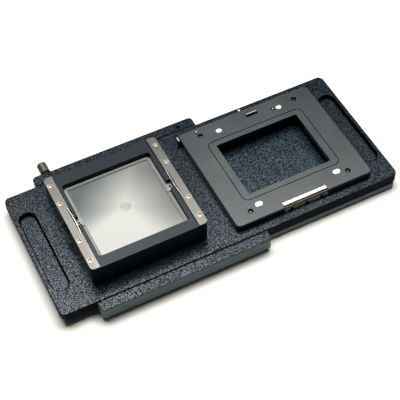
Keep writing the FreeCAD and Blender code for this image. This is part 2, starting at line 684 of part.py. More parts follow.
def focusing_screen():
    body = new_body("FocusingScreen")
    top = "glass_low + glass_thick"
    block(body, "screen_x - glass_x / 2", "screen_x + glass_x / 2", "-glass_y / 2", "glass_y / 2",
          "glass_low", "glass_thick")
    round_corners(body, glass_corners(), "glass_corner")
    cut_circles(body, [("screen_x", "0")], "prism_rad + fit", top, "prism_thick")
    return keep(body, "focusing_screen")


def split_prism():
    """Two half discs with opposed shallow slopes, set in the screen's middle."""
    low = "glass_low + glass_thick - prism_thick"
    disc = rod("PrismDisc", "screen_x", "0", low, "prism_rad", "prism_thick")
    line = brick("PrismLine", "screen_x - prism_rad", "-split_wide / 2", low + " + prism_thick - split_deep",
                 "prism_rad * 2", "split_wide", "over")
    return keep(less("SplitPrism", disc, line), "split_prism")


def screen_bezel():
    body = new_body("ScreenBezel")
    block(body, "screen_x - glass_x / 2", "screen_x + glass_x / 2", "-glass_y / 2", "glass_y / 2",
          "bezel_low", "bezel_thick")
    round_corners(body, glass_corners(), "glass_corner")
    bevel_level(body, "bezel_low + bezel_thick", "bezel_thick / 3")
    inner = ("screen_x - glass_x / 2 + bezel_wide", "screen_x + glass_x / 2 - bezel_wide",
             "-glass_y / 2 + bezel_wide", "glass_y / 2 - bezel_wide")
    cut_rect(body, *inner, "bezel_low + bezel_thick", "bezel_thick")
    round_corners(body, four(*inner), "glass_corner / 2")
    return keep(body, "screen_bezel")


def screen_clip(label, side):
    """A flat sliding catch: its tip lies on the bezel, its tab stands outside the housing."""
    tip_a, tip_b = span(side, "clip_tip", "clip_end")
    bar = brick("ClipBar", tip_a, "clip_mid - clip_wide / 2", "clip_low", "clip_end - clip_tip",
                "clip_wide", "clip_thick")
    tab_a, tab_b = span(side, "clip_end - clip_tab_long", "clip_end")
    tab = brick("ClipTab", tab_a, "clip_mid - clip_tab / 2", "clip_low - tab_lip", "clip_tab_long",
                "clip_tab", "clip_thick + tab_lip * 2")
    step_a, step_b = span(side, "clip_tip - over", "clip_tip + step_run")
    step = brick("ClipStep", step_a, "clip_mid - clip_wide", "clip_low + clip_step", "over + step_run",
                 "clip_wide * 2", "clip_thick")
    hole = rod("ClipHole", "screen_x %s clip_hole_in" % side, "clip_mid", "clip_low - over",
               "clip_hole_rad", "clip_thick + over * 2")
    blank = less("ClipStepped", joined("ClipBlank", [bar, tab]), step)
    return keep(less("ScreenClip", blank, hole), label)


# ---- back plate ------------------------------------------------------------------------------------


def oblong(body, x, y, long, wide, top, deep):
    """A round-ended pocket along X."""
    run = "(%s - (%s)) / 2" % (long, wide)
    cut_rect(body, "%s - %s" % (x, run), "%s + %s" % (x, run), "%s - (%s) / 2" % (y, wide),
             "%s + (%s) / 2" % (y, wide), top, deep)
    for sign in ("-", "+"):
        cut_circles(body, [("%s %s %s" % (x, sign, run), y)], "(%s) / 2" % wide, top, deep)


def pad_places():
    """Centre and length of each register pad."""
    rear = [("back_x - pad_rear_x", "pad_rear_y", "pad_rear_len"),
            ("back_x + pad_rear_x", "pad_rear_y", "pad_rear_len")]
    front = [("back_x - pad_front_x", "pad_front_y", "pad_front_len"),
             ("back_x + pad_front_x", "pad_front_y", "pad_front_len")]
    return rear, front


def back_plate():
    body = new_body("BackPlate")
    left, right = "plate_left", "plate_left + plate_len"
    front, rear = "plate_front", "plate_front + plate_deep"
    top = "slide_top + plate_thick"
    block(body, left, right, front, rear, "slide_top", "plate_thick")
    round_corners(body, four(left, right, front, rear), "plate_corner")
    bevel_level(body, top, "plate_edge")
    cut_rect(body, "back_x - ring_x / 2", "back_x + ring_x / 2", "-ring_y / 2", "ring_y / 2",
             top, "%s - ring_low" % top)
    round_corners(body, four("back_x - ring_x / 2", "back_x + ring_x / 2", "-ring_y / 2",
                             "ring_y / 2"), "ring_corner")
    cut_rect(body, "back_x - under_gate_x / 2", "back_x + under_gate_x / 2", "-under_gate_y / 2",
             "under_gate_y / 2", "ring_low", "ring_low - slide_top")
    cut_rect(body, "bar_x - bar_len / 2 - bar_room", "bar_x + bar_len / 2 + bar_room",
             "plate_front - over", "bar_rear + bar_room", top, "plate_thick")
    cut_circles(body, corner_places(), "cap_shank + fit", top, "plate_thick")
    cut_circles(body, corner_places(), "cap_bore", top, "cap_bore_deep")
    for x, y, long in pad_places()[0] + pad_places()[1]:
        oblong(body, x, y, long + " + fit", "pad_wide + fit", top, "pad_sunk")
    cut_circles(body, [("pin_x", "pin_y")], "pin_rad + fit / 2", top, "%s - pin_low" % top)
    cut_circles(body, [("sensor_x", "sensor_y")], "sensor_rad + fit * 2", top, "%s - sensor_well" % top)
    cut_rect(body, "slot_x - slot_long / 2", "slot_x + slot_long / 2", "slot_front", "slot_rear",
             top, "%s - channel_top" % top)
    cut_rect(body, "plate_left - over", "channel_end", "channel_front", "channel_rear", "channel_top",
             "channel_top - slide_top")
    return keep(body, "back_plate")


def aperture_ring():
    body = new_body("ApertureRing")
    top = "slide_top + plate_thick"
    half_x, half_y = "ring_x / 2 - ring_room", "ring_y / 2 - ring_room"
    sides = four("back_x - (%s)" % half_x, "back_x + %s" % half_x, "-(%s)" % half_y, half_y)
    block(body, sides[0][0], sides[1][0], sides[0][1], sides[2][1], "ring_low", "%s - ring_low" % top)
    round_corners(body, sides, "ring_corner - ring_room")
    bevel_level(body, top, "ring_room")
    inner = ("back_x - frame_x / 2", "back_x + frame_x / 2", "-frame_y / 2", "frame_y / 2")
    cut_rect(body, *inner, top, "%s - ring_low" % top)
    round_corners(body, four(*inner), "frame_corner")
    return keep(body, "aperture_ring")


def back_plate_screws():
    screws = []
    low = "slide_top + plate_thick - cap_bore_deep"
    for x, y in corner_places():
        screws.append(socket_screw("CapScrew", x, y, low, "cap_thick", "cap_rad", "cap_tip",
                                   "cap_shank"))
    return keep(grouped("CapScrews", screws), "back_plate_screws")


def register_pads(label, spots):
    pads = []
    for x, y, long in spots:
        run = "(%s - pad_wide) / 2" % long
        low = "slide_top + plate_thick - pad_sunk"
        tall = "pad_sunk + pad_proud"
        parts = [brick("PadMiddle", "%s - %s" % (x, run), y + " - pad_wide / 2", low,
                       "(%s) * 2" % run, "pad_wide", tall)]
        for sign in ("-", "+"):
            parts.append(rod("PadEnd", "%s %s %s" % (x, sign, run), y, low, "pad_wide / 2", tall))
        pads.append(joined("Pad", parts))
    return keep(grouped("Pads", pads), label)


def locating_pin():
    pin = rod("PinRod", "pin_x", "pin_y", "pin_low", "pin_rad", "pin_top - pin_low")
    return keep(domed("LocatingPin", pin, "pin_rad / 2"), "locating_pin")


def sensor_plunger():
    """A domed stem on a wider guide that stays below the plate's face."""
    guide = rod("SensorGuide", "sensor_x", "sensor_y", "sensor_low", "sensor_rad",
                "sensor_step - sensor_low")
    stem = rod("SensorStem", "sensor_x", "sensor_y", "sensor_low", "sensor_stem",
               "sensor_top - sensor_low")
    dome = domed("SensorDome", stem, "sensor_stem * dome_share")
    return keep(joined("SensorPlunger", [guide, dome]), "sensor_plunger")


def latch_slider():
    """A bar in the plate's channel, with a finger tab outside and a hook that stays clear of
    the slot's left end when the tab is pulled."""
    bar = brick("LatchBar", "finger_tab_left", "latch_front", "latch_low",
                "latch_end - finger_tab_left", "latch_rear - latch_front", "latch_top - latch_low")
    hook = brick("LatchHook", "slot_x - slot_long / 2 + latch_travel + latch_clear", "latch_front",
                 "latch_low", "hook_long", "latch_rear - latch_front", "hook_top - latch_low")
    foot = brick("LatchFoot", "finger_tab_left", "latch_front", "latch_low",
                 "finger_tab_right - finger_tab_left", "finger_tab_rear - latch_front",
                 "latch_top - latch_low")
    tab = brick("LatchTab", "finger_tab_left", "finger_tab_front", "latch_low",
                "finger_tab_right - finger_tab_left", "finger_tab_rear - finger_tab_front",
                "finger_tab_top - latch_low")
    end = brick("LatchEnd", "tab_block_left", "tab_block_front", "latch_low",
                "finger_tab_right - tab_block_left", "latch_rear - tab_block_front",
                "latch_top - latch_low")
    return keep(joined("LatchSlider", [bar, hook, foot, tab, end]), "latch_slider")


def slot_liner():
    """A bright steel plate lining the rear wall of the latch slot."""
    plate = brick("SlotLiner", "slot_x - liner_long / 2 + liner_shift", "liner_front", "liner_low",
                  "liner_long", "slot_rear - liner_front - fit", "liner_top - liner_low")
    return keep(plate, "slot_liner")


def support_bar():
    """The lower bar that carries a back's hooks: a flat top, a step and an upright face."""
    body = new_body("SupportBar")
    sketch = new_sketch(body, "Profile", "YZ_Plane", "bar_x")
    top, low, rear, face = (num(w) for w in ("bar_top", "bar_low", "bar_rear", "bar_face"))
    step_y, step_z = num("bar_step_y"), num("bar_step_z")
    bevel = (top - step_z) / 2
    points = [(rear, low), (rear, top), (step_y + bevel, top), (step_y, top - bevel),
              (step_y, step_z), (face + bevel, step_z), (face, step_z - bevel), (face, low)]
    for i, point in enumerate(points):
        following = points[(i + 1) % len(points)]
        sketch.addGeometry(Part.LineSegment(FreeCAD.Vector(*point, 0),
                                            FreeCAD.Vector(*following, 0)), False)
    for i in range(len(points)):
        sketch.addConstraint(Sketcher.Constraint("Coincident", i, 2, (i + 1) % len(points), 1))
    pad(body, sketch, "bar_len", both=True)
    holes = new_sketch(body, "ScrewHoles", "XZ_Plane", "-(bar_face + bar_hole_mid)")
    for step in ("- bar_screw_pitch", "+ 0", "+ bar_screw_pitch"):
        add_circle(holes, "bar_x " + step, "bar_screw_z", "bar_shank + fit")
    pocket(body, holes, "bar_hole_long", both=True)
    return keep(body, "support_bar")


def support_bar_screws():
    screws = []
    for step in ("- bar_screw_pitch", "+ 0", "+ bar_screw_pitch"):
        x = "bar_x " + step
        head = rod("BarHead", x, "bar_face - bar_head_tall", "bar_screw_z", "bar_screw_rad",
                   "bar_head_tall - fit", ALONG_Y)
        shank = rod("BarShank", x, "bar_face - bar_shank_start", "bar_screw_z", "bar_shank",
                    "bar_shank_long", ALONG_Y)
        drive = rod("BarDrive", x, "bar_face - over", "bar_screw_z", "bar_screw_rad / 2",
                    "over - bar_drive_floor", ALONG_Y)
        screws.append(less("BarScrew", joined("BarBlank", [head, shank]), drive))
    return keep(grouped("BarScrews", screws), "support_bar_screws")


# ---- slide lock ----------------------------------------------------------------------------------


def lock_bushing():
    """A flanged bushing in the rear rail that guides the lock screw."""
    sleeve = rod("BushSleeve", "lock_x", "shoe_pocket", "lock_z", "bush_rad - fit / 2",
                 "bush_end - shoe_pocket", ALONG_Y)
    flange = rod("BushFlange", "lock_x", "rail_outer + fit", "lock_z", "bush_flange",
                 "bush_end - rail_outer - fit", ALONG_Y)
    bore = rod("BushBore", "lock_x", "shoe_pocket - over", "lock_z", "bore_rad",
               "bush_end - shoe_pocket + over * 2", ALONG_Y)
    return keep(less("LockBushing", joined("BushBlank", [sleeve, flange]), bore), "lock_bushing")


def lock_screw():
    tip = rod("ScrewTip", "lock_x", "screw_tip_y", "lock_z", "screw_tip_rad",
              "screw_start - screw_tip_y + over / 2", ALONG_Y)
    shank = rod("ScrewShank", "lock_x", "screw_start", "lock_z", "screw_rad",
                "screw_end - screw_start", ALONG_Y)
    return keep(joined("LockScrew", [tip, shank]), "lock_screw")


def lock_knob():
    """A small knurled knob: a turned cylinder with a ring of fine axial grooves."""
    body = new_body("LockKnob")
    mid = "-(knob_start + knob_end) / 2"
    disc = new_sketch(body, "Disc", "XZ_Plane", mid)
    add_circle(disc, "0", "0", "knob_rad")
    pad(body, disc, "knob_end - knob_start", both=True)
    drum = body.Tip
    rims = ["Edge%d" % i for i, e in enumerate(drum.Shape.Edges, start=1)
            if same(e.BoundBox.YMin, e.BoundBox.YMax)]
    bevel = body.newObject("PartDesign::Chamfer", "RimBevel")
    bevel.Base = (drum, rims)
    bind(bevel, "Size", "knob_edge")
    DOC.recompute()
    groove = new_sketch(body, "Groove", "XZ_Plane", mid)
    add_rect(groove, "-knurl_wide / 2", "knurl_wide / 2", "knob_rad - knurl_deep", "knob_rad + over")
    cut = pocket(body, groove, "knob_end - knob_start", both=True)
    ring = body.newObject("PartDesign::PolarPattern", "Knurl")
    ring.Originals = [cut]
    ring.Axis = (plane(body, "Y_Axis"), [""])
    ring.Angle = 360
    ring.Occurrences = int(num("knurl_count"))
    body.Tip = ring
    DOC.recompute()
    bore = new_sketch(body, "Bore", "XZ_Plane", "-(knob_start + screw_end) / 2")
    add_circle(bore, "0", "0", "screw_rad + fit")
    pocket(body, bore, "screw_end - knob_start + fit", both=True)
    place(body, "lock_x", "0", "lock_z")
    return keep(body, "lock_knob")


def brake_shoe():
    """A nylon block pushed against the slide's edge by the lock screw's tip."""
    block_ = brick("ShoeBlock", "lock_x - shoe_half_x", "shoe_face", "lock_z - shoe_half_z",
                   "shoe_half_x * 2", "shoe_back - shoe_face", "shoe_half_z * 2")
    bore = rod("ShoeBore", "lock_x", "screw_tip_y - fit", "lock_z", "screw_tip_rad + tip_room",
               "shoe_back - screw_tip_y + over",
               ALONG_Y)
    return keep(less("BrakeShoe", block_, bore), "brake_shoe")


# ---- build, check and write ------------------------------------------------------------------------


def build():
    base_plate()
    front_rail()
    rear_rail()
    rail_set_screw()
    rail_screws()
    rail_index_pins()
    seals()
    stop_pin()
    slide_plate()
    slide_index_pin()
    screen_housing()
    housing_screws()
    finder_strip("finder_strip_left", "-")
    finder_strip("finder_strip_right", "+")
    finder_strip_screws("strip_screws_left", "-")
    finder_strip_screws("strip_screws_right", "+")
    leaf_spring("finder_spring_left", "-")
    leaf_spring("finder_spring_right", "+")
    focusing_screen()
    split_prism()
    screen_bezel()
    screen_clip("screen_clip_left", "-")
    screen_clip("screen_clip_right", "+")
    back_plate()
    aperture_ring()
    back_plate_screws()
    rear, front = pad_places()
    register_pads("register_pads_rear", rear)
    register_pads("register_pads_front", front)
    locating_pin()
    sensor_plunger()
    latch_slider()
    slot_liner()
    support_bar()
    support_bar_screws()
    lock_bushing()
    lock_screw()
    lock_knob()
    brake_shoe()


def write_parts():
    DOC.recompute()
    for thing in DOC.Objects:
        if "Invalid" in thing.State or "Error" in thing.State:
            raise ValueError("bad state: " + thing.Name)
    os.makedirs("parts", exist_ok=True)
    for node in NODES:
        shape = node.Shape
        if shape.isNull() or not shape.isValid() or not shape.Solids:
            raise ValueError("bad shape: " + node.Label)
        shape.exportStep(os.path.join("parts", node.Label + ".step"))
        box = shape.BoundBox
        print("%-22s %2d solids %9.1f mm3  x %7.2f %7.2f  y %7.2f %7.2f  z %6.2f %6.2f" % (
            node.Label, len(shape.Solids), shape.Volume, box.XMin, box.XMax, box.YMin, box.YMax,
            box.ZMin, box.ZMax))


build()
write_parts()
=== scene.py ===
import math

import bpy
from mathutils import Matrix, Vector

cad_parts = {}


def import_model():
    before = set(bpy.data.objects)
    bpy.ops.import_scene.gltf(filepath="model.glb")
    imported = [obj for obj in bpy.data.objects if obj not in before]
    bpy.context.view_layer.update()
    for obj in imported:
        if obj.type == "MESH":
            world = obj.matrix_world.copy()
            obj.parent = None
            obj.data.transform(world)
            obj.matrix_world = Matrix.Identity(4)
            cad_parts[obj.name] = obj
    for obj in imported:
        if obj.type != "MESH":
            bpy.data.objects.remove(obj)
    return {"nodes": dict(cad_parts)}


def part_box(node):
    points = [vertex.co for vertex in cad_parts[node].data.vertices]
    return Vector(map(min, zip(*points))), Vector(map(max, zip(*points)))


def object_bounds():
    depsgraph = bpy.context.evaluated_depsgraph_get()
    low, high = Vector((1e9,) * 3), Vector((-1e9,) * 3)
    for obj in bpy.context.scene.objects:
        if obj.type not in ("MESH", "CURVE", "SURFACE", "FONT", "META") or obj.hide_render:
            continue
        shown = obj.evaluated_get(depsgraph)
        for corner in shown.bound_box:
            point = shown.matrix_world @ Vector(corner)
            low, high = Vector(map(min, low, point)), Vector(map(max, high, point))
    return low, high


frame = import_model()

CAD_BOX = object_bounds()
MM = 0.001


# ---- node helpers ------------------------------------------------------------------------------


class Graph:
    """A short way to build a material's node tree."""

    def __init__(self, name):
        self.material = bpy.data.materials.new(name)
        self.material.use_nodes = True
        self.tree = self.material.node_tree
        self.tree.nodes.clear()
        out = self.tree.nodes.new("ShaderNodeOutputMaterial")
        self.shader = self.tree.nodes.new("ShaderNodeBsdfPrincipled")
        self.link(self.shader.outputs[0], out.inputs[0])

    def link(self, a, b):
        self.tree.links.new(a, b)

    def node(self, kind, **settings):
        made = self.tree.nodes.new(kind)
        for key, value in settings.items():
            setattr(made, key, value)
        return made

    def feed(self, socket, value):
        if isinstance(value, bpy.types.NodeSocket):
            self.link(value, socket)
        else:
            socket.default_value = value

    def set(self, **values):
        names = {"color": "Base Color", "rough": "Roughness", "metal": "Metallic", "normal": "Normal",
                 "spec": "Specular IOR Level", "sheen": "Sheen Weight", "tint": "Specular Tint"}
        for key, value in values.items():
            self.feed(self.shader.inputs[names[key]], value)

    def spot(self, kind="Object"):
        return self.node("ShaderNodeTexCoord").outputs[kind]

    def scaled(self, vector, scale):
        made = self.node("ShaderNodeMapping")
        self.feed(made.inputs["Vector"], vector)
        made.inputs["Scale"].default_value = scale
        return made.outputs[0]

    def noise(self, vector, scale, detail, rough):
        made = self.node("ShaderNodeTexNoise")
        self.feed(made.inputs["Vector"], vector)
        made.inputs["Scale"].default_value = scale
        made.inputs["Detail"].default_value = detail
        made.inputs["Roughness"].default_value = rough
        return made.outputs[0]

    def cells(self, vector, scale):
        made = self.node("ShaderNodeTexVoronoi", feature="F1")
        self.feed(made.inputs["Vector"], vector)
        made.inputs["Scale"].default_value = scale
        return made.outputs["Distance"]

    def math(self, operation, a, b=0.0, clamp=False):
        made = self.node("ShaderNodeMath", operation=operation, use_clamp=clamp)
        for socket, value in zip(made.inputs, (a, b)):
            self.feed(socket, value)
        return made.outputs[0]

    def range(self, value, low, high, to_low=0.0, to_high=1.0, smooth=False):
        made = self.node("ShaderNodeMapRange")
        if smooth:
            made.interpolation_type = "SMOOTHSTEP"
        self.feed(made.inputs["Value"], value)
        made.inputs["From Min"].default_value = low
        made.inputs["From Max"].default_value = high
        made.inputs["To Min"].default_value = to_low
        made.inputs["To Max"].default_value = to_high
        return made.outputs[0]

    def mix(self, factor, a, b):
        made = self.node("ShaderNodeMix", data_type="RGBA")
        self.feed(made.inputs[0], factor)
        self.feed(made.inputs[6], a)
        self.feed(made.inputs[7], b)
        return made.outputs[2]

    def bump(self, height, strength, distance):
        made = self.node("ShaderNodeBump")
        self.feed(made.inputs["Height"], height)
        made.inputs["Strength"].default_value = strength
        made.inputs["Distance"].default_value = distance
        return made.outputs[0]

    def split(self, vector):
        made = self.node("ShaderNodeSeparateXYZ")
        self.feed(made.inputs[0], vector)
        return made.outputs


def grey(value, tint=(1.0, 1.0, 1.0)):
    return (value * tint[0], value * tint[1], value * tint[2], 1.0)


def tinted(color, share, tint=(1.0, 1.0, 1.0)):
    """A share of a colour, shifted by a tint."""
    return (color[0] * share * tint[0], color[1] * share * tint[1], color[2] * share * tint[2], 1.0)


BLUE = (0.58, 1.0, 1.45)
GREEN = (0.86, 1.02, 1.0)
WARM = (1.06, 1.0, 0.94)
SLATE = (0.86, 1.03, 1.04)
SEA = (0.82, 1.03, 1.08)
STAIN_TINT = (1.0, 0.99, 0.96)
AGED_TINT = (1.0, 1.0, 0.84 / 0.86)
COOL = (0.80, 0.90, 1.0, 1.0)
# A blue-black used for joint lines, black parts, and painted shade on sides, feet and sunk parts.
BLUE_BLACK = grey(0.004, BLUE)
COAT_FINE = 1400.0
COAT_BROAD = 900.0
COAT_PITS = 850.0
COAT_ROUGH = 0.25
COAT_GLOSS = 0.66
FADE = 0.2 * MM
# Painted shade on the base's sides: below this height, and left of this place along X.
FOOT_SHADE_TOP = 1.2 * MM
BASE_SHADE_END = 55.1 * MM
CLIP_REACH = 33.6 * MM
BAR_FACE = 15.2 * MM
BAR_FOOT = 14.3 * MM
# Heights below which the latch, plunger and slot liner are drawn blue-black as painted shade inside the
# back plate.
LATCH_SHADE_TOP = 14.1 * MM
PLUNGER_SHADE_TOP = 14.4 * MM
LINER_SHADE_TOP = 15.1 * MM
# Width of the painted shade line drawn round the finger pockets' rims.
RIM_SHADE_WIDTH = 0.62 * MM
JOINT_LINE = 0.36 * MM
RING_CORNER = 3.8 * MM
SEAM_LINE = 0.42 * MM
BEZEL_HALF = 28.7 * MM
BEZEL_PALE = 0.9 * MM
FINGER_INSET = 7.95 * MM
FINGER_WIDE = 10.4 * MM
FINGER_LONG = 61.6 * MM
PRISM_EDGE = 3.4 * MM
# The screen's painted light and shade: how far the painted shade wedges reach, the palest shade, and the
# overall brightness.
SCREEN_REACH = 30 * MM
SCREEN_PALE = 0.93
SCREEN_GLOW = 0.66
# A painted shade wedge's direction and half width in degrees, anticlockwise from the right, and its
# depth.
RIGHT_SHADE_WEDGE = (10.0, 90.0, 0.42)
REAR_SHADE_WEDGE = (130.0, 75.0, 0.48)
STEEL_TONE = (0.55, 0.54, 0.52, 1.0)

KEY = (1.0, 0.975, 0.925)
BEHIND = Vector((0.42, 0.907, 0.0))
EYE = Vector((-145.6, -386.3, 547.4)) * MM
AIM = Vector((33.6, -1.1, 0.0)) * MM
ROLL = -2.12
LENS = 100.4


# ---- materials -----------------------------------------------------------------------------------


def length(g, across, along):
    """The length of a flat vector."""
    squares = g.math("ADD", g.math("MULTIPLY", across, across), g.math("MULTIPLY", along, along))
    return g.math("SQRT", squares)


def slot_rim_shade(g, slots):
    """1 on the thin rim of any long round-ended pocket along Y, where painted shade is drawn, else 0.

    Each slot holds its middle's X and Y, its half width and its half length.
    """
    x, y, _ = g.split(g.spot())
    total = 0.0
    for mid_x, mid_y, half_wide, half_long in slots:
        across = g.math("SUBTRACT", x, mid_x)
        along = g.math("ABSOLUTE", g.math("SUBTRACT", y, mid_y))
        past = g.math("MAXIMUM", g.math("SUBTRACT", along, half_long - half_wide), 0.0)
        reach = length(g, across, past)
        off = g.math("ABSOLUTE", g.math("SUBTRACT", reach, half_wide))
        total = g.math("ADD", total, g.range(off, RIM_SHADE_WIDTH, RIM_SHADE_WIDTH * 0.5))
    return g.math("MINIMUM", total, 1.0)


def frame_line(g, node, corner):
    """1 on a fine line along the rounded outline of a node seen from above, else 0."""
    low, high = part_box(node)
    x, y, _ = g.split(g.spot())
    reach = []
    for place, mid, half in ((x, (low.x + high.x) / 2, (high.x - low.x) / 2),
                             (y, (low.y + high.y) / 2, (high.y - low.y) / 2)):
        away = g.math("ABSOLUTE", g.math("SUBTRACT", place, mid))
        reach.append(g.math("SUBTRACT", away, half - corner))
    past = [g.math("MAXIMUM", value, 0.0) for value in reach]
    outside = length(g, past[0], past[1])
    inside = g.math("MINIMUM", g.math("MAXIMUM", reach[0], reach[1]), 0.0)
    off = g.math("ABSOLUTE", g.math("SUBTRACT", g.math("ADD", outside, inside), corner))
    return g.range(off, JOINT_LINE, JOINT_LINE * 0.5)


def seam_line(g, seams):
    """1 close to any of the straight gaps that run along X at the given Y places, else 0."""
    y = g.split(g.spot())[1]
    total = 0.0
    for place in seams:
        off = g.math("ABSOLUTE", g.math("SUBTRACT", y, place))
        total = g.math("ADD", total, g.range(off, SEAM_LINE, SEAM_LINE * 0.6))
    return g.math("MINIMUM", total, 1.0)


def facing_up(g):
    return g.range(g.split(g.spot("Normal"))[2], 0.55, 0.8)


def crinkle(name, dark, light, side_dark, side_light, side_tint, side_spec=0.5, slots=(), seams=(),
            shade_left=None):
    """A crinkled coat on upward faces and a smooth coat on the sides.

    Pocket rims are drawn dark as painted shade and straight gaps dark as joints; sides near the floor,
    and sides left of the place given in the last argument, are drawn blue-black as painted shade.
    """
    g = Graph(name)
    spot = g.spot()
    fine = g.noise(spot, COAT_FINE, 2.0, 0.6)
    broad = g.noise(spot, COAT_BROAD, 2.0, 0.55)
    pits = g.cells(spot, COAT_PITS)
    cloud = g.noise(spot, 30.0, 3.0, 0.5)
    grain = g.math("ADD", g.math("MULTIPLY", fine, 0.65), g.math("MULTIPLY", broad, 0.35))
    speck = g.range(grain, 0.45, 0.58)
    tone = g.math("ADD", speck, g.range(cloud, 0.3, 0.7, -0.10, 0.10), clamp=True)
    open_face = g.range(pits, 0.20, 0.40, 0.04, 1.0)
    # Painted shade along the finger pockets' rims.
    if slots:
        open_face = g.math("MULTIPLY", open_face, g.math("SUBTRACT", 1.0, slot_rim_shade(g, slots)))
    if seams:
        open_face = g.math("MULTIPLY", open_face, g.math("SUBTRACT", 1.0, seam_line(g, seams)))
    tones = g.mix(tone, grey(dark, BLUE), grey(light, BLUE))
    top = g.mix(open_face, grey(dark * 0.2, BLUE), tones)
    edge_cloud = g.noise(g.scaled(spot, (8.0, 8.0, 60.0)), 12.0, 3.0, 0.5)
    side = g.mix(edge_cloud, grey(side_dark, side_tint), grey(side_light, side_tint))
    # Painted shade: the base's sides below the foot height and left of the given place are drawn
    # blue-black.
    if shade_left is not None:
        shaded = g.math("MAXIMUM", g.range(g.split(spot)[0], shade_left, shade_left - FADE),
                        g.range(g.split(spot)[2], FOOT_SHADE_TOP + FADE, FOOT_SHADE_TOP))
        side = g.mix(shaded, side, BLUE_BLACK)
    up = facing_up(g)
    down = g.math("SUBTRACT", 1.0, up)
    height = g.math("ADD", g.math("MULTIPLY", fine, 0.5), g.math("MULTIPLY", broad, 1.0))
    rough_top = g.range(broad, 0.35, 0.65, COAT_ROUGH + 0.08, COAT_ROUGH - 0.05)
    shine = g.range(tone, 0.0, 1.0, 0.15, 1.0)
    gloss = g.math("MULTIPLY", shine, g.math("MULTIPLY", open_face, COAT_GLOSS))
    g.set(color=g.mix(up, side, top),
          rough=g.math("ADD", g.math("MULTIPLY", up, rough_top), g.math("MULTIPLY", down, 0.55)),
          spec=g.math("ADD", g.math("MULTIPLY", up, gloss), g.math("MULTIPLY", down, side_spec)),
          normal=g.bump(g.math("MULTIPLY", height, up), 0.3, 0.0002), tint=COOL)
    return g.material


def anodised(name, dark, light, tint, rough, spec, sheen_tint=COOL, joint=None):
    """A smooth dyed aluminium face with a very fine matt grain, and darker walls in a fixed blue-black
    that is painted shade.

    If joint names an inset node, the fine gap round it is drawn as a dark line.
    """
    g = Graph(name)
    spot = g.spot()
    grain = g.noise(spot, 2000.0, 2.0, 0.6)
    cloud = g.noise(spot, 34.0, 4.0, 0.6)
    tone = g.math("ADD", g.math("MULTIPLY", grain, 0.6), g.math("MULTIPLY", cloud, 0.4))
    color = g.mix(g.range(tone, 0.40, 0.60), grey(dark, tint), grey(light, tint))
    up = facing_up(g)
    shine = g.range(up, 0.0, 1.0, spec * 0.3, spec)
    if joint:
        line = frame_line(g, joint, RING_CORNER)
        color = g.mix(line, color, BLUE_BLACK)
        shine = g.math("MULTIPLY", shine, g.math("SUBTRACT", 1.0, line))
    # Walls are drawn a fixed blue-black, not the face's dye: painted shade on the sides.
    walls = g.mix(cloud, grey(0.006, BLUE), grey(0.015, BLUE))
    g.set(color=g.mix(up, walls, color), rough=g.range(cloud, 0.3, 0.7, rough - 0.02, rough + 0.03),
          spec=shine, normal=g.bump(grain, 0.12, 0.00008), tint=sheen_tint)
    return g.material


def metal(name, color, rough, scratch=(1.0, 30.0, 1.0), depth=0.1, stain=0.12, bands=(), dull=None):
    """Brushed bare metal.

    Each band holds an axis, where its colour starts, where it is full, and the colour. dull holds a
    height and the metallic share below it.
    """
    g = Graph(name)
    spot = g.spot()
    lines = g.noise(g.scaled(spot, scratch), 300.0, 4.0, 0.65)
    cloud = g.noise(spot, 90.0, 3.0, 0.6)
    base = g.mix(g.range(cloud, 0.35, 0.7), color, tinted(color, 1 - stain, STAIN_TINT))
    lined = g.mix(g.range(lines, 0.4, 0.62, 0.0, 0.35), base, tinted(color, 0.62))
    for axis, start, end, band in bands:
        lined = g.mix(g.range(g.split(spot)[axis], start, end), lined, band)
    pure = 1.0
    if dull:
        height, share = dull
        pure = g.range(g.split(spot)[2], height, height + FADE, share, 1.0)
    g.set(color=lined, metal=pure, rough=g.range(lines, 0.3, 0.7, rough * 0.8, rough * 1.2),
          normal=g.bump(lines, depth, 0.00006))
    return g.material


def below(height, color):
    """A band for metal() that colours everything below a height."""
    return (2, height + FADE, height, color)


def wedge(g, angle, toward, half_wide, depth):
    """A painted shade wedge on the screen: depth along one direction, fading to 0 at half_wide degrees
    either side.
    """
    near = g.math("COSINE", g.math("SUBTRACT", angle, math.radians(toward)))
    return g.range(near, math.cos(math.radians(half_wide)), 1.0, 0.0, depth, smooth=True)


def screen_painted_light(centre):
    """Ground glass over fine lens rings, with its light and shade painted in: painted light in front,
    painted shade wedges to the right and the rear left.
    """
    g = Graph("screen_painted_light")
    x, y, _ = g.split(g.spot())
    dx = g.math("SUBTRACT", x, centre.x)
    dy = g.math("SUBTRACT", y, centre.y)
    angle = g.math("ARCTAN2", dy, dx)
    radius = length(g, dx, dy)
    reach = g.range(radius, 0.0, SCREEN_REACH)
    dark = g.math("ADD", wedge(g, angle, *RIGHT_SHADE_WEDGE), wedge(g, angle, *REAR_SHADE_WEDGE))
    shade = g.math("SUBTRACT", SCREEN_PALE, g.math("MULTIPLY", dark, reach))
    tone = g.math("POWER", g.math("MAXIMUM", shade, 0.05), 2.2)
    # A cooler painted tint toward the rear left corner, part of the screen's painted light and shade.
    corner = g.math("ADD", g.math("MULTIPLY", dx, -1.0), dy)
    cool = g.range(corner, 15 * MM, 35 * MM)
    tint = g.mix(cool, grey(SCREEN_GLOW, (1.0, 1.0, 0.96)), grey(SCREEN_GLOW, (0.90, 1.0, 1.04)))
    shaded = g.mix(tone, grey(0.0), tint)
    grain = g.noise(g.spot(), 5200.0, 1.0, 0.5)
    rings = g.math("SINE", g.math("MULTIPLY", radius, 2 * math.pi / (0.25 * MM)))
    height = g.math("ADD", g.math("MULTIPLY", grain, 0.6), g.math("MULTIPLY", rings, 0.08))
    g.set(color=shaded, rough=g.range(grain, 0.3, 0.7, 0.5, 0.62), spec=0.12,
          normal=g.bump(height, 0.08, 0.00004))
    return g.material


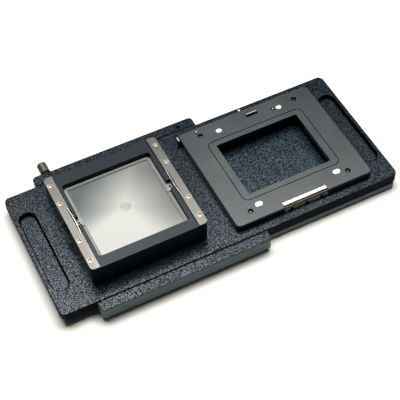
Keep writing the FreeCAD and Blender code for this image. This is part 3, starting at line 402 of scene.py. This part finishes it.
def prism_halves(centre):
    """Two clear halves of a split disc, one painted lighter than the other, each with a painted sweep of
    light across, with a hazed rim.
    """
    g = Graph("prism_halves")
    x, y, _ = g.split(g.spot())
    dx = g.math("SUBTRACT", x, centre.x)
    dy = g.math("SUBTRACT", y, centre.y)
    radius = length(g, dx, dy)
    half = g.range(dy, -0.1 * MM, 0.1 * MM)
    sweep = g.range(dx, -PRISM_EDGE, PRISM_EDGE)
    upper = g.mix(sweep, grey(0.40, WARM), grey(0.44, GREEN))
    lower = g.mix(sweep, grey(0.50, WARM), grey(0.36, GREEN))
    body = g.mix(half, lower, upper)
    haze = g.noise(g.spot(), 900.0, 2.0, 0.5)
    rim = g.range(radius, PRISM_EDGE - 0.4 * MM, PRISM_EDGE)
    g.set(color=g.mix(g.math("MULTIPLY", rim, 0.5), body, grey(0.3)),
          rough=g.range(haze, 0.3, 0.7, 0.12, 0.2), spec=0.5, normal=g.bump(haze, 0.03, 0.00004))
    return g.material


def plastic(name, color, rough=0.45):
    """A plain moulded plastic with a fine grain and faint darker clouds."""
    g = Graph(name)
    spot = g.spot()
    grain = g.noise(spot, 1400.0, 2.0, 0.5)
    cloud = g.noise(spot, 120.0, 2.0, 0.5)
    darker = tinted(color, 0.86, AGED_TINT)
    g.set(color=g.mix(g.range(cloud, 0.35, 0.65), color, darker),
          rough=g.range(grain, 0.3, 0.7, rough - 0.06, rough + 0.08), normal=g.bump(grain, 0.1, 0.00006))
    return g.material


def rim_plastic(centre, half, outer):
    """A square bezel: a thin pale outer line and a greyer band inside it."""
    g = Graph("screen_rim")
    x, y, _ = g.split(g.spot())
    across = g.math("ABSOLUTE", g.math("SUBTRACT", x, centre.x))
    along = g.math("ABSOLUTE", g.math("SUBTRACT", y, centre.y))
    reach = g.math("MAXIMUM", across, along)
    pale = g.range(reach, half - outer - 0.1 * MM, half - outer + 0.1 * MM)
    grain = g.noise(g.spot(), 1400.0, 2.0, 0.5)
    color = g.mix(pale, grey(0.17, SLATE), grey(0.40, WARM))
    g.set(color=color, rough=g.range(grain, 0.3, 0.7, 0.3, 0.44), normal=g.bump(grain, 0.1, 0.00006))
    return g.material


def felt(name):
    """A black felt with a short upright nap."""
    g = Graph(name)
    spot = g.spot()
    fibre = g.noise(g.scaled(spot, (1.0, 1.0, 3.0)), 2400.0, 4.0, 0.7)
    g.set(color=g.mix(fibre, grey(0.006), grey(0.02)), rough=0.95, sheen=0.4,
          normal=g.bump(fibre, 0.7, 0.0002))
    return g.material


# ---- dressing the CAD nodes ------------------------------------------------------------------------


def dress(material, *nodes):
    for name in nodes:
        mesh = frame["nodes"][name].data
        for i in range(max(1, len(mesh.materials))):
            if i < len(mesh.materials):
                mesh.materials[i] = material
            else:
                mesh.materials.append(material)


def middle(node):
    low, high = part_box(node)
    return (low + high) / 2


def pockets(node):
    """The two finger pockets, set in from the plate's left and right ends: middle and half sizes."""
    low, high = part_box(node)
    mid_y = (low.y + high.y) / 2
    return [(low.x + FINGER_INSET, mid_y, FINGER_WIDE / 2, FINGER_LONG / 2),
            (high.x - FINGER_INSET, mid_y, FINGER_WIDE / 2, FINGER_LONG / 2)]


SCREEN = middle("focusing_screen")
POCKETS = pockets("slide_plate")
SEAMS = (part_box("slide_plate")[0].y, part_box("slide_plate")[1].y)
SLIDE = crinkle("slide_crinkle", 0.0008, 0.025, 0.0015, 0.003, BLUE, 0.04, POCKETS, SEAMS)
RAIL = crinkle("rail_crinkle", 0.0008, 0.025, 0.064, 0.08, SEA, seams=SEAMS)
BASE = crinkle("base_crinkle", 0.002, 0.056, 0.056, 0.070, SEA, shade_left=BASE_SHADE_END)
HOUSE = anodised("housing_satin", 0.004, 0.007, BLUE, 0.30, 0.3)
PLATE = anodised("plate_satin", 0.020, 0.035, (0.88, 1.0, 1.08), 0.30, 0.66, (0.90, 0.96, 1.0, 1.0),
                 "aperture_ring")
STRIP = metal("strip_brushed", (0.145, 0.14, 0.135, 1.0), 0.30, (1.0, 0.05, 1.0), 0.02, 0.06)
SCREW = metal("strip_screw_copper", (0.72, 0.53, 0.43, 1.0), 0.32, (1.0, 1.0, 1.0), 0.08)
SPRING = metal("spring_bright", STEEL_TONE, 0.25, (1.0, 0.05, 1.0), 0.05)
CLIP_OUT = SCREEN.x - CLIP_REACH
CLIP = metal("clip_steel", (0.18, 0.178, 0.175, 1.0), 0.4, (0.05, 1.0, 1.0), 0.1,
             bands=((0, CLIP_OUT, CLIP_OUT - 0.3 * MM, BLUE_BLACK),))
RIM = rim_plastic(middle("screen_bezel"), BEZEL_HALF, BEZEL_PALE)
BLACK = anodised("screw_black", 0.001, 0.002, BLUE, 0.3, 0.1)
CAP_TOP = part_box("back_plate_screws")[1].z
# The cap screws are black on top; below the head's top, the socket inside is drawn grey as a painted
# highlight.
CAP = metal("cap_screw_black", BLUE_BLACK, 0.3, (1.0, 1.0, 1.0), 0.05,
            bands=(below(CAP_TOP - 0.5 * MM, (0.22, 0.22, 0.21, 1.0)),))
# Painted shade: the slot liner, latch and plunger are drawn blue-black where they sink into the back
# plate's slot, channel and hole.
LINER = metal("slot_strip", (0.70, 0.66, 0.60, 1.0), 0.3, (0.1, 1.0, 1.0), 0.04,
              bands=(below(LINER_SHADE_TOP, BLUE_BLACK),))
PAD = metal("pad_polished", (0.92, 0.92, 0.91, 1.0), 0.3, (1.0, 1.0, 1.0), 0.04)
STEEL = metal("pin_turned", (0.50, 0.49, 0.47, 1.0), 0.3, (1.0, 1.0, 8.0), 0.06)
LATCH = metal("latch_steel", STEEL_TONE, 0.3, (0.1, 1.0, 1.0), 0.06, bands=(below(LATCH_SHADE_TOP, BLUE_BLACK),))
COPPER = metal("plunger_copper", (0.34, 0.19, 0.13, 1.0), 0.35, (1.0, 1.0, 6.0), 0.06,
               bands=(below(PLUNGER_SHADE_TOP, BLUE_BLACK),))
BAR = metal("bar_steel", (0.56, 0.54, 0.52, 1.0), 0.26, (0.04, 1.0, 1.0), 0.05,
            bands=(below(BAR_FACE, (0.15, 0.11, 0.07, 1.0)), below(BAR_FOOT, (0.42, 0.39, 0.35, 1.0))),
            dull=(BAR_FOOT, 0.3))
GOLD = metal("dot_gold", (0.92, 0.74, 0.38, 1.0), 0.4, (1.0, 1.0, 1.0), 0.05)
KNOB = metal("knob_dull", (0.15, 0.138, 0.11, 1.0), 0.5, (1.0, 0.2, 1.0), 0.15, 0.3)
NYLON = plastic("shoe_nylon", (0.72, 0.70, 0.65, 1.0))
FELT = felt("seal_felt")

dress(SLIDE, "slide_plate")
dress(RAIL, "front_rail", "rear_rail")
dress(BASE, "base_plate")
dress(HOUSE, "screen_housing")
dress(PLATE, "back_plate", "aperture_ring")
dress(STRIP, "finder_strip_left", "finder_strip_right")
dress(SCREW, "strip_screws_left", "strip_screws_right")
dress(SPRING, "finder_spring_left", "finder_spring_right")
dress(CLIP, "screen_clip_left", "screen_clip_right")
dress(RIM, "screen_bezel")
dress(screen_painted_light(SCREEN), "focusing_screen")
dress(prism_halves(SCREEN), "split_prism")
dress(BLACK, "rail_screws", "rail_set_screw", "housing_screws", "support_bar_screws", "lock_bushing")
dress(CAP, "back_plate_screws")
dress(PAD, "register_pads_rear", "register_pads_front")
dress(LINER, "slot_liner")
dress(STEEL, "locating_pin", "lock_screw", "stop_pin")
dress(LATCH, "latch_slider")
dress(COPPER, "sensor_plunger")
dress(BAR, "support_bar")
dress(GOLD, "rail_index_pins", "slide_index_pin")
dress(KNOB, "lock_knob")
dress(NYLON, "brake_shoe")
dress(FELT, "seal_left", "seal_right", "seal_front", "seal_rear")


# ---- stage, light and camera --------------------------------------------------------------------------


def floor():
    """A wide pale floor just under the object."""
    size = 6.0
    mesh = bpy.data.meshes.new("floor")
    mesh.from_pydata([(-size, -size, 0), (size, -size, 0), (size, size, 0), (-size, size, 0)], [],
                     [(0, 1, 2, 3)])
    made = bpy.data.objects.new("floor", mesh)
    bpy.context.collection.objects.link(made)
    made.location.z = CAD_BOX[0].z - 0.02 * MM
    g = Graph("floor_white")
    g.set(color=grey(0.93, (1.02, 1.0, 0.965)), rough=0.9, spec=0.1)
    mesh.materials.append(g.material)


def softbox(name, behind, tall, deep, wide, power):
    """A level softbox above and behind the object, its long side square to the line of sight."""
    data = bpy.data.lights.new(name, "AREA")
    data.shape = "RECTANGLE"
    data.size = wide
    data.size_y = deep
    data.energy = power
    data.color = KEY
    made = bpy.data.objects.new(name, data)
    bpy.context.collection.objects.link(made)
    made.location = BEHIND * behind + Vector((0.0, 0.0, tall))
    made.rotation_euler = (0.0, 0.0, math.atan2(BEHIND.y, BEHIND.x) - math.pi / 2)


def world(low, high):
    """A studio room: dark in front and low down, paler high up behind the object."""
    made = bpy.data.worlds.new("studio")
    made.use_nodes = True
    tree = made.node_tree
    background = tree.nodes["Background"]
    spot = tree.nodes.new("ShaderNodeTexCoord")
    along = tree.nodes.new("ShaderNodeVectorMath")
    along.operation = "DOT_PRODUCT"
    along.inputs[1].default_value = (0.34, 0.72, 0.60)
    ramp = tree.nodes.new("ShaderNodeMapRange")
    ramp.interpolation_type = "SMOOTHSTEP"
    tree.links.new(spot.outputs["Generated"], along.inputs[0])
    tree.links.new(along.outputs["Value"], ramp.inputs["Value"])
    ramp.inputs["From Min"].default_value = 0.45
    ramp.inputs["From Max"].default_value = 1.0
    ramp.inputs["To Min"].default_value = low
    ramp.inputs["To Max"].default_value = high
    background.inputs[0].default_value = (0.78, 1.0, 1.16, 1.0)
    tree.links.new(ramp.outputs[0], background.inputs[1])
    bpy.context.scene.world = made


def camera():
    """A long lens above the object's front left, turned a little about its line of sight."""
    data = bpy.data.cameras.new("camera")
    data.lens = LENS
    data.sensor_width = 36.0
    data.clip_start = 0.01
    data.clip_end = 20.0
    made = bpy.data.objects.new("camera", data)
    bpy.context.collection.objects.link(made)
    facing = (EYE - AIM).to_track_quat("Z", "Y").to_matrix().to_4x4()
    made.matrix_world = Matrix.Translation(EYE) @ facing @ Matrix.Rotation(math.radians(ROLL), 4, "Z")
    bpy.context.scene.camera = made


floor()
world(low=0.03, high=0.30)
softbox("softbox", behind=0.33, tall=1.0, deep=0.64, wide=1.1, power=20.0)
camera()
bpy.context.scene.view_settings.view_transform = "Standard"
